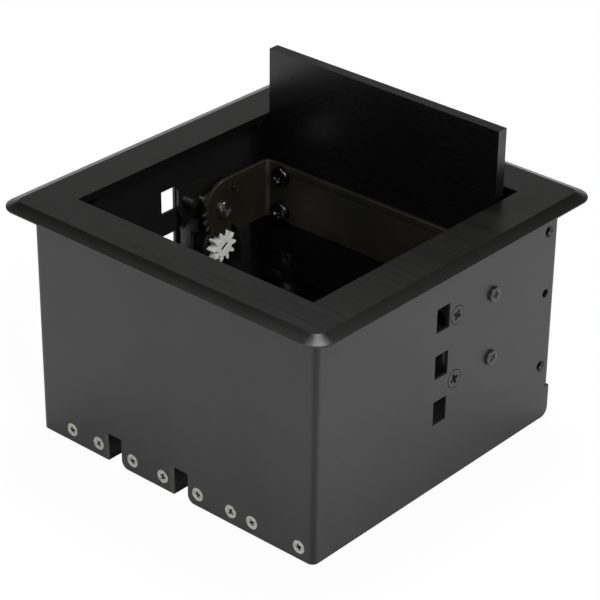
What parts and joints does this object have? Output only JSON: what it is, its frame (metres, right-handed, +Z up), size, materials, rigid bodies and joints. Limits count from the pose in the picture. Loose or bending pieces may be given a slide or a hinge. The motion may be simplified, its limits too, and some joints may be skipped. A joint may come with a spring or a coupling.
{
  "type": "table-top cable management box",
  "caption": "Square cable box let into a table top, with a bevelled frame, a folded sheet-steel case and a damped lid that tilts open on two side pivots.",
  "frame": {"origin": "middle of the underside, at the bottom edge of the folded case", "axes": "+X along the front wall to the right, +Y from the front wall to the rear plate, +Z up out of the table top"},
  "size_m": [0.153, 0.153, 0.1223],
  "materials": {
    "powder_coat": "fine satin black powder coat",
    "anodised_frame": "brushed and black anodised",
    "anodised_lid": "brushed and black anodised",
    "black_plated_steel": "black zinc plating, semi-gloss",
    "nickel_screws": "nickel plated",
    "black_screws": "black oxide",
    "zinc_steel": "bright zinc plated",
    "spring_steel": "oiled spring wire",
    "black_moulding": "moulded black acetal",
    "white_moulding": "moulded white acetal",
    "bush_plastic": "moulded black bearing plastic"
  },
  "bodies": {
    "case": {"housing_shell": "powder_coat", "rear_panel": "powder_coat", "base_pan": "powder_coat", "bezel_frame": "anodised_frame", "bezel_nuts": "zinc_steel", "front_pan_screws": "nickel_screws", "rear_panel_screws": "nickel_screws", "rear_pan_screws": "nickel_screws", "left_hinge_plate": "black_plated_steel", "left_hinge_screws": "black_screws", "left_stop_screws": "black_screws", "left_stop_block": "black_moulding", "left_pivot_pin": "zinc_steel", "left_torsion_spring": "spring_steel", "left_damper_body": "black_moulding", "right_hinge_plate": "black_plated_steel", "right_hinge_screws": "black_screws", "right_stop_screws": "black_screws", "right_stop_block": "black_moulding", "right_pivot_pin": "zinc_steel", "right_torsion_spring": "spring_steel", "right_damper_body": "black_moulding"},
    "lid": {"lid_panel": "anodised_lid", "lid_bracket": "black_plated_steel", "lid_stop_tabs": "black_plated_steel", "lid_stop_screws": "black_screws", "lid_bracket_screws": "black_screws", "left_pivot_bush": "bush_plastic", "right_pivot_bush": "bush_plastic"},
    "left_gear": {"left_damper_gear": "white_moulding", "left_damper_shaft": "black_moulding"},
    "right_gear": {"right_damper_gear": "white_moulding", "right_damper_shaft": "black_moulding"}
  },
  "joints": [
    {"name": "lid_hinge", "type": "hinge", "parent": "case", "child": "lid", "pos_m": [0, 0.018, 0.0639], "axis": [1, 0, 0], "range_deg": [0, 90], "stiffness_Nm_per_rad": 0.0042, "springref_deg": -20.05, "deforming": ["left_torsion_spring", "right_torsion_spring"]},
    {"name": "left_gear_spin", "type": "hinge", "parent": "case", "child": "left_gear", "pos_m": [-0.05565, 0.018, 0.04795], "axis": [1, 0, 0], "range_deg": [-171.5, 0.5]},
    {"name": "right_gear_spin", "type": "hinge", "parent": "case", "child": "right_gear", "pos_m": [0.05565, 0.018, 0.04795], "axis": [1, 0, 0], "range_deg": [-171.5, 0.5]}
  ],
  "couplings": [
    {"joint": "left_gear_spin", "follows": "lid_hinge", "ratio": -1.9},
    {"joint": "right_gear_spin", "follows": "lid_hinge", "ratio": -1.9}
  ]
}
